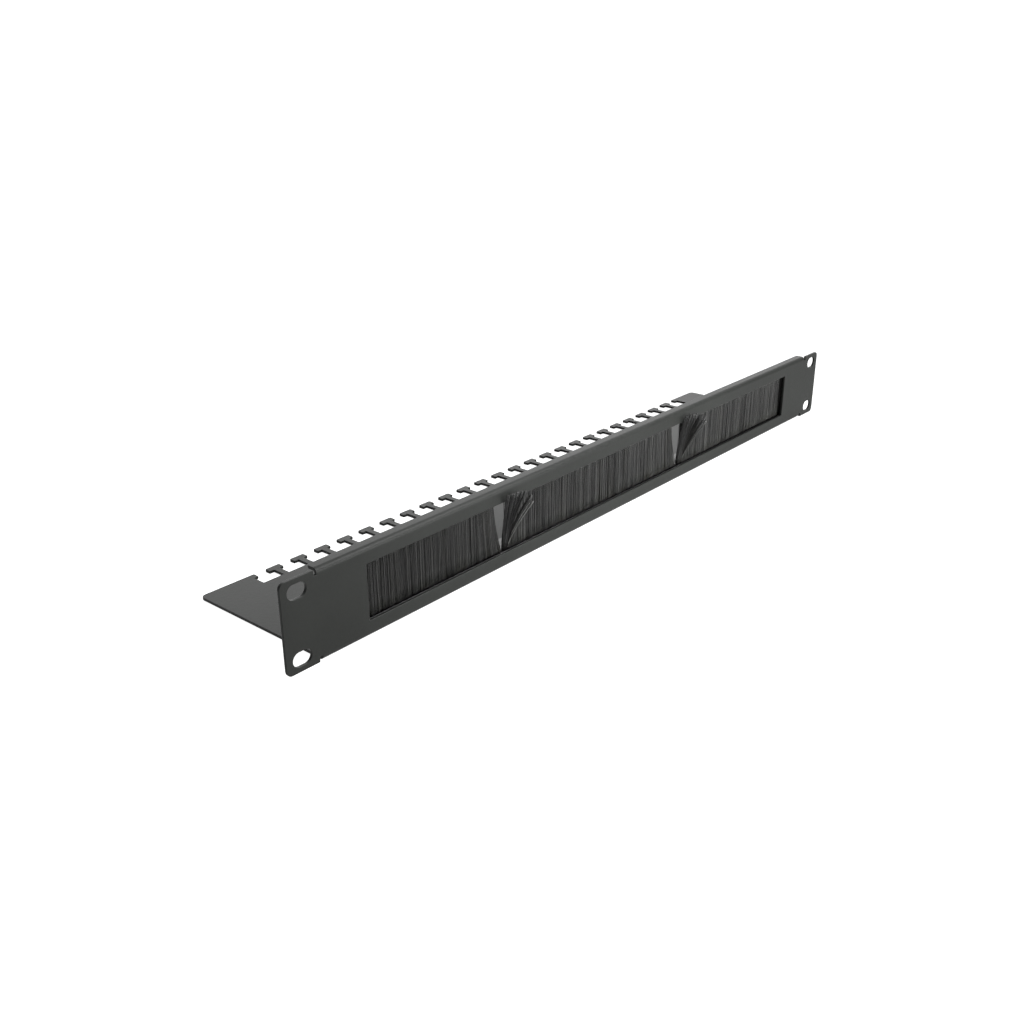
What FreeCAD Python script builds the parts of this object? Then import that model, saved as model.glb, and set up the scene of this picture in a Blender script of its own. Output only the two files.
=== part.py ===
import FreeCAD, Part

import math
import os
import re

import Sketcher

from FreeCAD import Vector

# A 1U rack panel of folded sheet steel with a strip brush behind its window.
# X runs along the panel, Y from the front to the rear and Z upwards, in millimetres.
# The origin is the middle of the plane where the ears meet the rack rails, so the
# front face lies one sheet thickness in front of it.
SIZES = {
    # Folded sheet panel
    "panel_width": 482.6,
    "panel_height": 44.0,
    "sheet_thickness": 1.5,
    "bend_inside": 1.0,
    "ear_width": 19.6,
    "flange_depth": 6.5,
    "flange_corner": 1.5,
    "tray_depth": 90.0,
    "tray_corner": 3.0,
    "ear_corner": 3.0,
    "relief_width": 1.6,
    "relief_past_bend": 0.2,
    # Window in the face
    "window_margin": 27.7,
    "window_height": 28.0,
    # Slotted rack holes, spaced as on a 19 inch rack
    "slot_inset": 8.75,
    "slot_spacing_up": 31.75,
    "slot_length": 10.2,
    "slot_height": 7.0,
    # Notches that leave the T-shaped tie teeth along the rear edge of the tray
    "notch_count": 25,
    "notch_pitch": 15.68,
    "notch_shift": 1.6,
    "mouth_width": 6.9,
    "pocket_width": 12.2,
    "pocket_length": 7.6,
    "tooth_head": 4.0,
    "notch_corner": 0.8,
    # Holder rail on the tray
    "rail_clearance": 0.2,
    "rail_wall": 1.0,
    "rail_base": 1.0,
    "rail_height": 4.4,
    "rail_flange": 13.0,
    "groove_width": 4.4,
    "groove_lip": 0.4,
    "groove_lip_height": 0.6,
    # Crimped channel, core wire and bristles
    "brush_overlap": 9.5,
    "channel_clearance": 0.1,
    "channel_wall": 0.5,
    "channel_height": 3.6,
    "channel_shoulder": 2.4,
    "channel_pinch": 0.5,
    "pinch_height": 0.5,
    "wire_diameter": 1.2,
    "wire_clearance": 0.05,
    "bristle_clearance": 0.1,
    "bristle_fold": 0.5,
    "tip_clearance": 0.8,
    "tip_thickness": 3.8,
    "bundle_pitch": 3.7,
    "bundle_root": 4.0,
    "gap_root_width": 0.25,
    "gap_tip_width": 0.8,
    # Two partings in the bristles, and the tufts swept forward beside them
    "left_parting": -98.6,
    "left_lean": 7.4,
    "right_parting": 66.0,
    "right_lean": 10.0,
    "parting_width": 1.4,
    "tuft_width": 3.0,
    "tuft_clearance": 0.2,
    "tuft_locks": 5,
    "tuft_near_drift": 6.5,
    "tuft_far_drift": 1.5,
    "tuft_near_sweep": 8.5,
    "tuft_far_sweep": 17.2,
    "tuft_tip_drop": 4.8,
    "lock_width": 1.9,
    "lock_thickness": 1.8,
    # Clinched studs, washers and nuts that hold the rail down
    "stud_count": 3,
    "stud_spacing": 160.0,
    "stud_diameter": 3.0,
    "stud_length": 5.5,
    "stud_head_diameter": 4.6,
    "stud_head_height": 0.8,
    "stud_fit": 0.05,
    "rail_hole": 3.4,
    "washer_diameter": 7.0,
    "washer_hole": 3.2,
    "washer_thickness": 0.5,
    "nut_width": 5.5,
    "nut_height": 2.4,
}

# Widths and places that several pieces share
BODY_WIDTH = "(panel_width - 2 * ear_width)"
WINDOW_WIDTH = f"({BODY_WIDTH} - 2 * window_margin)"
BRUSH_LENGTH = f"({WINDOW_WIDTH} + 2 * brush_overlap)"
SLOT_SPACING = "(panel_width - 2 * slot_inset)"
FACE_FRONT = "-sheet_thickness"
TRAY_UNDER = "-panel_height / 2"
TRAY_TOP = "(sheet_thickness - panel_height / 2)"
FLANGE_UNDER = "(panel_height / 2 - sheet_thickness)"
TRAY_REAR = "(tray_depth - sheet_thickness)"
FLANGE_REAR = "(flange_depth - sheet_thickness)"
RAIL_FRONT = "(bend_inside + rail_clearance)"
RAIL_BACK = "(bend_inside + rail_clearance + 2 * rail_wall + groove_width)"
BRUSH_MIDDLE = "(bend_inside + rail_clearance + rail_wall + groove_width / 2)"
RAIL_FLOOR = "(sheet_thickness - panel_height / 2 + rail_base)"
CHANNEL_TOP = f"({RAIL_FLOOR} + channel_height)"
BRISTLE_TIP = f"({FLANGE_UNDER} - tip_clearance)"
STUD_ROW = f"({RAIL_BACK} + rail_flange / 2)"
FIRST_STUD = "(-(stud_count - 1) * stud_spacing / 2)"
CHANNEL_HALF = "(groove_width / 2 - channel_clearance)"
RELIEF_DEPTH = "(bend_inside + sheet_thickness + relief_past_bend)"
PARTING_REACH = "(parting_width + tuft_width + tuft_clearance)"

doc = FreeCAD.newDocument("RackBrushPanel")
sizes = doc.addObject("Spreadsheet::Sheet", "Sizes")
for row, (name, size) in enumerate(SIZES.items(), start=1):
    sizes.set(f"A{row}", name.replace("_", " "))
    sizes.set(f"B{row}", str(size))
    sizes.setAlias(f"B{row}", name)
doc.recompute()


def linked(expression):
    """Point the size names in an expression at the spreadsheet."""
    names = re.compile(r"\b(" + "|".join(SIZES) + r")\b")
    return names.sub(r"Sizes.\1", str(expression))


def value(expression):
    """Work out an expression of sizes as a plain number."""
    return float(sizes.evalExpression(linked(expression)))


def bind(thing, prop, expression):
    """Set a property from an expression of sizes."""
    thing.setExpression(prop, linked(expression))


def new_body(name):
    """Start one piece of the panel."""
    body = doc.addObject("PartDesign::Body", name)
    body.Label = name
    return body


def new_sketch(body, name, plane, offset=None):
    """Attach a sketch to an origin plane of the body, moved along its normal by the offset."""
    sketch = body.newObject("Sketcher::SketchObject", name)
    support = next(f for f in body.Origin.OriginFeatures if f.Role == plane)
    sketch.AttachmentSupport = [(support, "")]
    sketch.MapMode = "FlatFace"
    if offset is not None:
        bind(sketch, "AttachmentOffset.Base.z", offset)
        doc.recompute()
    return sketch


def dimension(sketch, kind, geometry, point, expression):
    """Tie one coordinate of a point, or a radius, to an expression of sizes."""
    number = value(expression)
    if kind == "Radius":
        index = sketch.addConstraint(Sketcher.Constraint(kind, geometry, number))
    elif abs(number) < 1e-9:
        axis = -2 if kind == "DistanceX" else -1
        sketch.addConstraint(Sketcher.Constraint("PointOnObject", geometry, point, axis))
        return
    else:
        index = sketch.addConstraint(
            Sketcher.Constraint(kind, -1, 1, geometry, point, number))
    bind(sketch, f"Constraints[{index}]", expression)


def outline(sketch, corners):
    """Draw a closed outline of level and upright lines, rounded at corners with a radius."""
    count = len(corners)
    points = [Vector(value(c[0]), value(c[1]), 0) for c in corners]
    radii = [value(c[2]) if len(c) > 2 else 0.0 for c in corners]
    runs = []
    for i in range(count):
        runs.append((points[(i + 1) % count] - points[i]).normalize())
    lines = []
    for i in range(count):
        start = points[i] + runs[i] * radii[i]
        end = points[(i + 1) % count] - runs[i] * radii[(i + 1) % count]
        lines.append(sketch.addGeometry(Part.LineSegment(start, end), False))
    for i, line in enumerate(lines):
        level = abs(runs[i].x) > 0.5
        sketch.addConstraint(Sketcher.Constraint("Horizontal" if level else "Vertical", line))
        kind = "DistanceY" if level else "DistanceX"
        dimension(sketch, kind, line, 1, corners[i][1] if level else corners[i][0])
    for i in range(count):
        before = lines[i - 1]
        after = lines[i]
        if radii[i] == 0.0:
            sketch.addConstraint(Sketcher.Constraint("Coincident", before, 2, after, 1))
            continue
        inward, outward = runs[i - 1], runs[i]
        centre = points[i] + (outward - inward) * radii[i]
        first = points[i] - inward * radii[i] - centre
        last = points[i] + outward * radii[i] - centre
        left_turn = inward.cross(outward).z > 0
        if not left_turn:
            first, last = last, first
        begin = math.atan2(first.y, first.x)
        finish = math.atan2(last.y, last.x)
        circle = Part.Circle(centre, Vector(0, 0, 1), radii[i])
        arc = sketch.addGeometry(Part.ArcOfCircle(circle, begin, finish), False)
        near, far = (1, 2) if left_turn else (2, 1)
        sketch.addConstraint(Sketcher.Constraint("Tangent", before, 2, arc, near))
        sketch.addConstraint(Sketcher.Constraint("Tangent", arc, far, after, 1))
        dimension(sketch, "Radius", arc, 0, corners[i][2])


def polygon(sketch, corners):
    """Draw a closed outline of straight lines through corners given as expressions."""
    points = [Vector(value(x), value(y), 0) for x, y in corners]
    lines = []
    for i, point in enumerate(points):
        following = points[(i + 1) % len(points)]
        lines.append(sketch.addGeometry(Part.LineSegment(point, following), False))
    for i, line in enumerate(lines):
        sketch.addConstraint(Sketcher.Constraint("Coincident", lines[i - 1], 2, line, 1))
        dimension(sketch, "DistanceX", line, 1, corners[i][0])
        dimension(sketch, "DistanceY", line, 1, corners[i][1])


def circle(sketch, across, along, diameter):
    """Draw a circle about a point given as expressions."""
    centre = Vector(value(across), value(along), 0)
    ring = Part.Circle(centre, Vector(0, 0, 1), value(diameter) / 2)
    geometry = sketch.addGeometry(ring, False)
    dimension(sketch, "DistanceX", geometry, 3, across)
    dimension(sketch, "DistanceY", geometry, 3, along)
    dimension(sketch, "Radius", geometry, 0, f"({diameter}) / 2")


def level_slot(sketch, across, along):
    """Draw a level slot with round ends about a point given as expressions."""
    radius = value("slot_height / 2")
    reach = "(slot_length - slot_height) / 2"
    x, y, half = value(across), value(along), value(reach)
    up = Vector(0, radius, 0)
    left, right = Vector(x - half, y, 0), Vector(x + half, y, 0)
    lower = sketch.addGeometry(Part.LineSegment(left - up, right - up), False)
    upper = sketch.addGeometry(Part.LineSegment(right + up, left + up), False)
    quarter = math.pi / 2
    normal = Vector(0, 0, 1)
    right_end = sketch.addGeometry(
        Part.ArcOfCircle(Part.Circle(right, normal, radius), -quarter, quarter), False)
    left_end = sketch.addGeometry(
        Part.ArcOfCircle(Part.Circle(left, normal, radius), quarter, 3 * quarter), False)
    for ends in ((lower, 2, right_end, 1), (right_end, 2, upper, 1),
                 (upper, 2, left_end, 1), (left_end, 2, lower, 1)):
        sketch.addConstraint(Sketcher.Constraint("Tangent", *ends))
    dimension(sketch, "DistanceX", right_end, 3, f"{across} + {reach}")
    dimension(sketch, "DistanceY", right_end, 3, along)
    dimension(sketch, "DistanceX", left_end, 3, f"{across} - {reach}")
    dimension(sketch, "DistanceY", left_end, 3, along)
    dimension(sketch, "Radius", right_end, 0, "slot_height / 2")
    sketch.addConstraint(Sketcher.Constraint("Equal", right_end, left_end))


def hexagon(sketch, across, along, width):
    """Draw a regular hexagon with two flats that face along the sketch's X."""
    corners = []
    for step in range(6):
        turn = math.radians(30 + 60 * step)
        reach = f"({width}) / {math.sqrt(3)!r}"
        corners.append((f"{across} + {reach} * {math.cos(turn)!r}",
                        f"{along} + {reach} * {math.sin(turn)!r}"))
    polygon(sketch, corners)


def pad(body, name, sketch, length, both_ways=False):
    """Raise a sketch into a solid along its normal, or to both sides of its plane."""
    feature = body.newObject("PartDesign::Pad", name)
    feature.Profile = sketch
    if both_ways:
        feature.SideType = "Symmetric"
    bind(feature, "Length", length)
    body.Tip = feature
    doc.recompute()
    return feature


def cut_through(body, name, sketch, both_ways=True):
    """Cut a sketch right through the body and see that it took something away."""
    before = body.Shape.Volume
    feature = body.newObject("PartDesign::Pocket", name)
    feature.Profile = sketch
    feature.Type = "ThroughAll"
    if both_ways:
        feature.SideType = "Symmetric"
    body.Tip = feature
    doc.recompute()
    if body.Shape.Volume >= before - 1e-6:
        raise RuntimeError(f"{name} cuts nothing")
    return feature


def row_of(body, name, feature, sketch, pitch, count):
    """Repeat a feature along the sketch's X at a fixed pitch."""
    pattern = body.newObject("PartDesign::LinearPattern", name)
    pattern.Originals = [feature]
    pattern.Direction = (sketch, ["H_Axis"])
    pattern.Mode = "Spacing"
    bind(pattern, "Offset", pitch)
    bind(pattern, "Occurrences", count)
    body.Tip = pattern
    doc.recompute()
    return pattern


def round_edges(body, name, radius, chosen):
    """Round the edges of the body that the test picks out."""
    picked = []
    for number, edge in enumerate(body.Shape.Edges, start=1):
        if chosen(edge):
            picked.append(f"Edge{number}")
    if not picked:
        raise RuntimeError(f"{name} finds no edge")
    base = body.Tip
    feature = body.newObject("PartDesign::Fillet", name)
    feature.Base = (base, picked)
    bind(feature, "Radius", radius)
    body.Tip = feature
    doc.recompute()
    return feature


def upright_edge_at(y):
    """Pick the two upright edges at the ends of the middle part, a given way back."""
    half, place = value(f"{BODY_WIDTH} / 2"), value(y)

    def test(edge):
        box = edge.BoundBox
        upright = box.XLength < 1e-6 and box.YLength < 1e-6
        return upright and abs(abs(box.XMin) - half) < 1e-6 and abs(box.YMin - place) < 1e-6

    return test


def build_panel():
    """Fold the panel: section of the bends, front outline, then all that is punched out."""
    body = new_body("panel")
    bend = "bend_inside + sheet_thickness"
    section = new_sketch(body, "FoldedSection", "YZ_Plane")
    outline(section, [
        (TRAY_REAR, TRAY_UNDER),
        (FACE_FRONT, TRAY_UNDER, bend),
        (FACE_FRONT, "panel_height / 2", bend),
        (FLANGE_REAR, "panel_height / 2"),
        (FLANGE_REAR, FLANGE_UNDER),
        ("0", FLANGE_UNDER, "bend_inside"),
        ("0", TRAY_TOP, "bend_inside"),
        (TRAY_REAR, TRAY_TOP),
    ])
    pad(body, "FoldedSheet", section, BODY_WIDTH, both_ways=True)

    side, low, high = "panel_width / 2", "-panel_height / 2", "panel_height / 2"
    relief = f"({BODY_WIDTH} / 2 + relief_width)"
    neck_low = f"({RELIEF_DEPTH} - panel_height / 2)"
    neck_high = f"(panel_height / 2 - {RELIEF_DEPTH})"
    front = new_sketch(body, "FrontOutline", "XZ_Plane")
    outline(front, [
        (f"-{side}", low, "ear_corner"),
        (f"-{relief}", low),
        (f"-{relief}", neck_low),
        (relief, neck_low),
        (relief, low),
        (side, low, "ear_corner"),
        (side, high, "ear_corner"),
        (relief, high),
        (relief, neck_high),
        (f"-{relief}", neck_high),
        (f"-{relief}", high),
        (f"-{side}", high, "ear_corner"),
    ])
    pad(body, "FaceAndEars", front, "sheet_thickness")

    window = new_sketch(body, "WindowOutline", "XZ_Plane")
    half_width, half_height = f"{WINDOW_WIDTH} / 2", "window_height / 2"
    outline(window, [
        (f"-{half_width}", f"-{half_height}"),
        (half_width, f"-{half_height}"),
        (half_width, half_height),
        (f"-{half_width}", half_height),
    ])
    cut_through(body, "Window", window)

    slots = new_sketch(body, "RackSlots", "XZ_Plane")
    for across in (f"-{SLOT_SPACING} / 2", f"{SLOT_SPACING} / 2"):
        for along in ("-slot_spacing_up / 2", "slot_spacing_up / 2"):
            level_slot(slots, across, along)
    cut_through(body, "RackSlotCuts", slots)

    # The notch is a wide pocket with a narrower mouth, and the mouth is rounded off into
    # the rear edge. What stays between two notches is one T-shaped tooth.
    first = "(notch_shift - (notch_count - 1) * notch_pitch / 2)"
    mouth_rear = TRAY_REAR
    mouth_front = f"({TRAY_REAR} - tooth_head)"
    pocket_front = f"({TRAY_REAR} - tooth_head - pocket_length)"
    beyond = f"({TRAY_REAR} + notch_corner)"
    mouth, pocket = "mouth_width / 2", "pocket_width / 2"
    flare = "(mouth_width / 2 + 2 * notch_corner)"
    notch = new_sketch(body, "NotchOutline", "XY_Plane")
    outline(notch, [
        (f"{first} - {pocket}", pocket_front),
        (f"{first} + {pocket}", pocket_front),
        (f"{first} + {pocket}", mouth_front),
        (f"{first} + {mouth}", mouth_front),
        (f"{first} + {mouth}", mouth_rear, "notch_corner"),
        (f"{first} + {flare}", mouth_rear),
        (f"{first} + {flare}", beyond),
        (f"{first} - {flare}", beyond),
        (f"{first} - {flare}", mouth_rear),
        (f"{first} - {mouth}", mouth_rear, "notch_corner"),
        (f"{first} - {mouth}", mouth_front),
        (f"{first} - {pocket}", mouth_front),
    ])
    cut = cut_through(body, "Notch", notch, both_ways=False)
    row_of(body, "NotchRow", cut, notch, "notch_pitch", "notch_count")

    holes = new_sketch(body, "StudHoles", "XY_Plane")
    heads = new_sketch(body, "StudHeadRecesses", "XY_Plane", f"{TRAY_UNDER} + stud_head_height")
    for number in range(int(value("stud_count"))):
        across = f"{FIRST_STUD} + {number} * stud_spacing"
        circle(holes, across, STUD_ROW, "stud_diameter + 2 * stud_fit")
        circle(heads, across, STUD_ROW, "stud_head_diameter + 2 * stud_fit")
    cut_through(body, "StudHoleCuts", holes, both_ways=False)
    cut_through(body, "StudHeadCuts", heads, both_ways=False)

    round_edges(body, "TrayCorners", "tray_corner", upright_edge_at(TRAY_REAR))
    round_edges(body, "FlangeCorners", "flange_corner", upright_edge_at(FLANGE_REAR))
    return body


def build_rail():
    """Grooved rail that lies on the tray and is held down along its rear flange."""
    body = new_body("holder_rail")
    section = new_sketch(body, "RailSection", "YZ_Plane")
    top = f"({TRAY_TOP} + rail_height)"
    floor = RAIL_FLOOR
    under_lip = f"({TRAY_TOP} + rail_height - groove_lip_height)"
    front_wall = f"({RAIL_FRONT} + rail_wall)"
    back_wall = f"({RAIL_FRONT} + rail_wall + groove_width)"
    rear = f"({RAIL_BACK} + rail_flange)"
    outline(section, [
        (RAIL_FRONT, TRAY_TOP),
        (rear, TRAY_TOP),
        (rear, floor),
        (RAIL_BACK, floor),
        (RAIL_BACK, top),
        (f"{back_wall} - groove_lip", top),
        (f"{back_wall} - groove_lip", under_lip),
        (back_wall, under_lip),
        (back_wall, floor),
        (front_wall, floor),
        (front_wall, under_lip),
        (f"{front_wall} + groove_lip", under_lip),
        (f"{front_wall} + groove_lip", top),
        (RAIL_FRONT, top),
    ])
    pad(body, "Rail", section, BRUSH_LENGTH, both_ways=True)
    holes = new_sketch(body, "RailHoles", "XY_Plane")
    for number in range(int(value("stud_count"))):
        circle(holes, f"{FIRST_STUD} + {number} * stud_spacing", STUD_ROW, "rail_hole")
    cut_through(body, "RailHoleCuts", holes, both_ways=False)
    return body


def mirrored_section(half):
    """Complete one half of a section, listed from the bottom up, about the brush's middle."""
    right = [(f"{BRUSH_MIDDLE} + {across}", height) for across, height in half]
    left = [(f"{BRUSH_MIDDLE} - {across}", height) for across, height in reversed(half)]
    return right + left


def build_channel():
    """U-shaped channel whose walls are pinched in over the folded bristles."""
    body = new_body("brush_channel")
    section = new_sketch(body, "ChannelSection", "YZ_Plane")
    neck = f"({CHANNEL_HALF} - channel_pinch)"
    inner = f"({CHANNEL_HALF} - channel_wall)"
    inner_neck = f"({CHANNEL_HALF} - channel_wall - channel_pinch)"
    shoulder = f"({RAIL_FLOOR} + channel_shoulder)"
    outside = [
        (CHANNEL_HALF, RAIL_FLOOR),
        (CHANNEL_HALF, shoulder),
        (neck, f"{shoulder} + pinch_height"),
        (neck, CHANNEL_TOP),
    ]
    inside = [
        (inner_neck, CHANNEL_TOP),
        (inner_neck, f"{shoulder} + pinch_height - channel_wall / 2"),
        (inner, f"{shoulder} - channel_wall / 2"),
        (inner, f"{RAIL_FLOOR} + channel_wall"),
    ]
    right = [(f"{BRUSH_MIDDLE} + {a}", z) for a, z in outside + inside]
    left = [(f"{BRUSH_MIDDLE} - {a}", z) for a, z in reversed(outside + inside)]
    polygon(section, right + left)
    pad(body, "Channel", section, BRUSH_LENGTH, both_ways=True)
    return body


WIRE_HEIGHT = f"({RAIL_FLOOR} + channel_wall + bristle_fold + wire_diameter / 2)"


def build_wire():
    """Core wire that the bristles are folded around."""
    body = new_body("core_wire")
    section = new_sketch(body, "WireSection", "YZ_Plane")
    circle(section, BRUSH_MIDDLE, WIRE_HEIGHT, "wire_diameter")
    pad(body, "Wire", section, BRUSH_LENGTH, both_ways=True)
    return body


def root_half():
    """Half of the bristle section inside the channel, from the bottom up to the channel's top."""
    wide = f"({CHANNEL_HALF} - channel_wall - bristle_clearance)"
    narrow = f"({CHANNEL_HALF} - channel_wall - channel_pinch - bristle_clearance)"
    shoulder = f"({RAIL_FLOOR} + channel_shoulder - channel_wall / 2)"
    return [
        (wide, f"{RAIL_FLOOR} + channel_wall + bristle_clearance"),
        (wide, f"{shoulder} - bristle_clearance"),
        (narrow, f"{shoulder} + pinch_height - bristle_clearance"),
        (narrow, CHANNEL_TOP),
    ]


def build_bristles(name, start, end, lean=None):
    """One stretch of the bristle curtain, split from its tips into narrow bundles."""
    body = new_body(name)
    section = new_sketch(body, "BristleSection", "YZ_Plane", start)
    half = root_half() + [("tip_thickness / 2", BRISTLE_TIP)]
    polygon(section, mirrored_section(half))
    circle(section, BRUSH_MIDDLE, WIRE_HEIGHT, "wire_diameter + 2 * wire_clearance")
    length = f"{end} - {start}"
    pad(body, "Curtain", section, length)

    over = f"({BRISTLE_TIP} + bundle_pitch)"
    usable = length
    if lean:
        slant = new_sketch(body, "LeaningEdge", "XZ_Plane")
        rise = f"({lean} * ({over} - {CHANNEL_TOP}) / ({BRISTLE_TIP} - {CHANNEL_TOP}))"
        polygon(slant, [
            (end, CHANNEL_TOP),
            (f"{end} + bundle_pitch", CHANNEL_TOP),
            (f"{end} + bundle_pitch", over),
            (f"{end} - {rise}", over),
        ])
        cut_through(body, "LeaningEdgeCut", slant)
        usable = f"{length} - {lean}"

    count = f"floor(({usable}) / bundle_pitch) - 1"
    middle = f"({start} + bundle_pitch)"
    gap = new_sketch(body, "GapOutline", "XZ_Plane")
    polygon(gap, [
        (f"{middle} - gap_root_width / 2", f"{CHANNEL_TOP} + bundle_root"),
        (f"{middle} + gap_root_width / 2", f"{CHANNEL_TOP} + bundle_root"),
        (f"{middle} + gap_tip_width / 2", f"{BRISTLE_TIP} + gap_tip_width"),
        (f"{middle} - gap_tip_width / 2", f"{BRISTLE_TIP} + gap_tip_width"),
    ])
    cut = cut_through(body, "Gap", gap)
    row_of(body, "GapRow", cut, gap, "bundle_pitch", count)
    return body


def build_tuft(name, parting):
    """Bunch of bristles beside a parting, fanned forward through the window in locks."""
    body = new_body(name)
    start = f"({parting} + parting_width)"
    root = new_sketch(body, "TuftRootSection", "YZ_Plane", start)
    polygon(root, mirrored_section(root_half()))
    circle(root, BRUSH_MIDDLE, WIRE_HEIGHT, "wire_diameter + 2 * wire_clearance")
    pad(body, "TuftRoot", root, "tuft_width")

    # The locks spread from the narrow root as a fan. The lock next to the parting leans
    # straight towards it. The further ones come forward more, so their tips end lower.
    locks = int(value("tuft_locks"))
    for lock in range(locks):
        far = lock / (locks - 1)
        sweep = f"(tuft_near_sweep + (tuft_far_sweep - tuft_near_sweep) * {far ** 3!r})"
        tip = f"({BRISTLE_TIP} - tuft_tip_drop * {far ** 3!r})"
        drift = f"((tuft_near_drift + tuft_far_drift) * {far!r} - tuft_near_drift)"
        sections = []
        for level, share in enumerate((0.0, 0.5, 1.0)):
            bent = share * (1 - far) + share ** 2 * far
            left = f"({start} + (tuft_width - lock_width) * {far!r} + {drift} * {bent!r})"
            right = f"({left} + lock_width)"
            front = f"({BRUSH_MIDDLE} - {sweep} * {share!r} - lock_thickness / 2)"
            back = f"({front} + lock_thickness)"
            sketch = new_sketch(body, f"Lock{lock}Level{level}", "XY_Plane",
                                f"{CHANNEL_TOP} + ({tip} - {CHANNEL_TOP}) * {share!r}")
            polygon(sketch, [(left, front), (right, front), (right, back), (left, back)])
            sections.append(sketch)
        loft = body.newObject("PartDesign::AdditiveLoft", f"Lock{lock}")
        loft.Profile = sections[0]
        loft.Sections = sections[1:]
        loft.Ruled = True
        body.Tip = loft
        doc.recompute()
    return body


def repeat_body(body, sketch):
    """Repeat the whole body once for every stud along the rail."""
    body.AllowCompound = True
    pattern = body.newObject("PartDesign::LinearPattern", "Row")
    pattern.TransformMode = "Whole shape"
    pattern.Direction = (sketch, ["H_Axis"])
    pattern.Mode = "Spacing"
    bind(pattern, "Offset", "stud_spacing")
    bind(pattern, "Occurrences", "stud_count")
    body.Tip = pattern
    doc.recompute()


def build_studs():
    """Clinched studs with their heads pressed flush into the underside of the tray."""
    body = new_body("studs")
    head = new_sketch(body, "HeadOutline", "XY_Plane", TRAY_UNDER)
    circle(head, FIRST_STUD, STUD_ROW, "stud_head_diameter")
    pad(body, "Head", head, "stud_head_height")
    shank = new_sketch(body, "ShankOutline", "XY_Plane", TRAY_UNDER)
    circle(shank, FIRST_STUD, STUD_ROW, "stud_diameter")
    pad(body, "Shank", shank, "sheet_thickness + stud_length")
    repeat_body(body, head)
    return body


def build_washers():
    """Flat washers on the rail's flange."""
    body = new_body("washers")
    ring = new_sketch(body, "RingOutline", "XY_Plane", RAIL_FLOOR)
    circle(ring, FIRST_STUD, STUD_ROW, "washer_diameter")
    circle(ring, FIRST_STUD, STUD_ROW, "washer_hole")
    pad(body, "Ring", ring, "washer_thickness")
    repeat_body(body, ring)
    return body


def build_nuts():
    """Hexagon nuts on the washers."""
    body = new_body("nuts")
    flats = new_sketch(body, "HexOutline", "XY_Plane", f"{RAIL_FLOOR} + washer_thickness")
    hexagon(flats, FIRST_STUD, STUD_ROW, "nut_width")
    circle(flats, FIRST_STUD, STUD_ROW, "stud_diameter + 2 * stud_fit")
    pad(body, "Hex", flats, "nut_height")
    repeat_body(body, flats)
    return body


pieces = [
    build_panel(),
    build_rail(),
    build_channel(),
    build_wire(),
    build_bristles("bristles_left", f"(-{BRUSH_LENGTH} / 2)", "left_parting", "left_lean"),
    build_bristles("bristles_middle", f"(left_parting + {PARTING_REACH})", "right_parting",
                   "right_lean"),
    build_bristles("bristles_right", f"(right_parting + {PARTING_REACH})",
                   f"({BRUSH_LENGTH} / 2)"),
    build_tuft("swept_tuft_left", "left_parting"),
    build_tuft("swept_tuft_right", "right_parting"),
    build_studs(),
    build_washers(),
    build_nuts(),
]

doc.recompute()
for thing in doc.Objects:
    if "Invalid" in thing.State or "Error" in thing.State:
        raise RuntimeError(f"{thing.Name} failed: {thing.State}")
for piece in pieces:
    if piece.Shape.isNull() or not piece.Shape.isValid():
        raise RuntimeError(f"{piece.Label} has no valid shape")

os.makedirs("parts", exist_ok=True)
for piece in pieces:
    piece.Shape.exportStep(os.path.join("parts", f"{piece.Label}.step"))
    print(piece.Label, len(piece.Shape.Solids), "solids", round(piece.Shape.Volume, 1), "mm3")
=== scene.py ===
"""Rack panel with a strip brush, dressed for show over its solid model.

All sizes are in metres, with the origin in the middle of the plane where the ears meet the
rack. X runs along the panel, Y from the front to the rear and Z upwards.
"""

import math
import random

import bmesh
import bpy
from bpy.props import FloatProperty, FloatVectorProperty, IntProperty, PointerProperty
from bpy.types import Operator, Panel, PropertyGroup
from mathutils import Matrix, Vector, noise


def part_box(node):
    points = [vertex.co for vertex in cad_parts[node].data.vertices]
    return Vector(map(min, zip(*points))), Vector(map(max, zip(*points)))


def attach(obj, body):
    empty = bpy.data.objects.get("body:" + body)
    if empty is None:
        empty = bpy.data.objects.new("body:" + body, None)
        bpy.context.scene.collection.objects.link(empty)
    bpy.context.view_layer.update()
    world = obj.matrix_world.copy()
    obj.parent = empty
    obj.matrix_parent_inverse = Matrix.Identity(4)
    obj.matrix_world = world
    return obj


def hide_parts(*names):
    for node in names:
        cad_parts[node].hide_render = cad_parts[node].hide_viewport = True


bl_info = {
    "name": "Rack Brush Panel",
    "version": (1, 0, 0),
    "blender": (4, 5, 0),
    "location": "3D View > Sidebar > Rack Panel",
    "description": "Folded rack panel with a strip brush, tie teeth and its fixings",
    "category": "Object",
}

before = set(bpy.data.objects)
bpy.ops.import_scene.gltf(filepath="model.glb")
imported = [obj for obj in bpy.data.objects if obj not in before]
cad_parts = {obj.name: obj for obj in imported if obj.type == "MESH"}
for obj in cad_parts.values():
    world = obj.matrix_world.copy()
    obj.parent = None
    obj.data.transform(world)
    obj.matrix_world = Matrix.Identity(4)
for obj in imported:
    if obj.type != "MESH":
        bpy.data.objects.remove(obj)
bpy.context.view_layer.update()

MM = 0.001
UP = Vector((0.0, 0.0, 1.0))

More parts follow.
